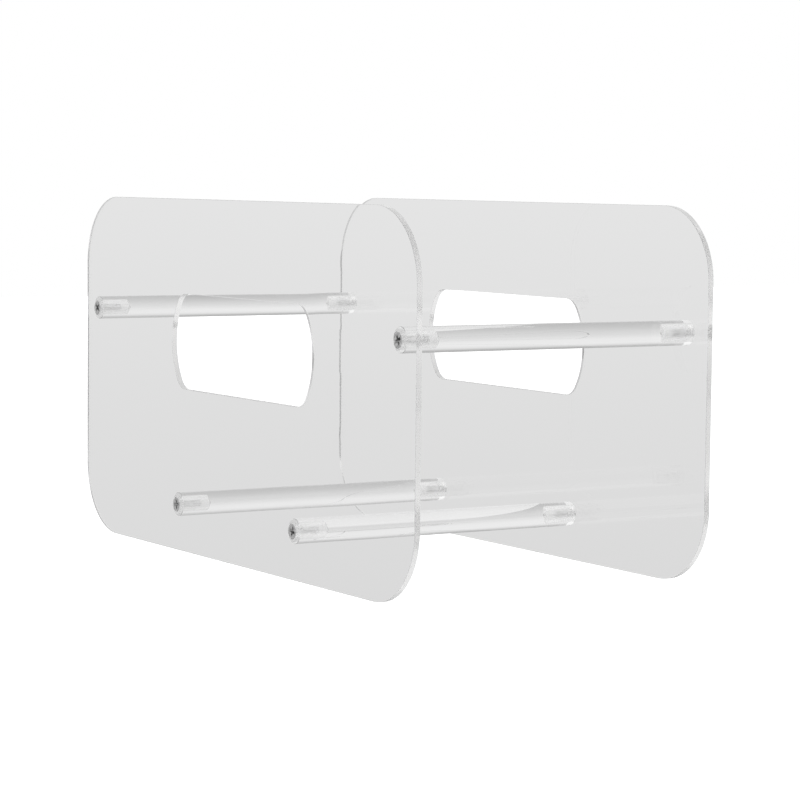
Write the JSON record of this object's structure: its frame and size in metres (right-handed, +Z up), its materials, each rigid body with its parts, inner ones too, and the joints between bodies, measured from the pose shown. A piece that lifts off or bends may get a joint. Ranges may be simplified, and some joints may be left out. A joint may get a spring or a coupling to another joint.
{
  "type": "magazine rack",
  "caption": "Clear acrylic magazine rack: upright rounded side panels with hand holes, joined by round cross rods that carry and steady the magazines, with flush countersunk screws.",
  "frame": {"origin": "on the surface it stands on, in the middle of the rack: halfway between the panels and halfway along them", "axes": "+X along the rods, from the left panel to the right one; +Y along the panels, from front to rear; +Z up"},
  "size_m": [0.1814, 0.38, 0.2],
  "materials": {
    "clear_sheet": "polished",
    "clear_rod": "polished",
    "screw_steel": "satin"
  },
  "bodies": {
    "root": {"left_panel": "clear_sheet", "right_panel": "clear_sheet", "upper_front_rod": "clear_rod", "upper_rear_rod": "clear_rod", "lower_front_rod": "clear_rod", "lower_rear_rod": "clear_rod", "left_upper_front_screw": "screw_steel", "left_upper_rear_screw": "screw_steel", "left_lower_front_screw": "screw_steel", "left_lower_rear_screw": "screw_steel", "right_upper_front_screw": "screw_steel", "right_upper_rear_screw": "screw_steel", "right_lower_front_screw": "screw_steel", "right_lower_rear_screw": "screw_steel"}
  },
  "joints": []
}
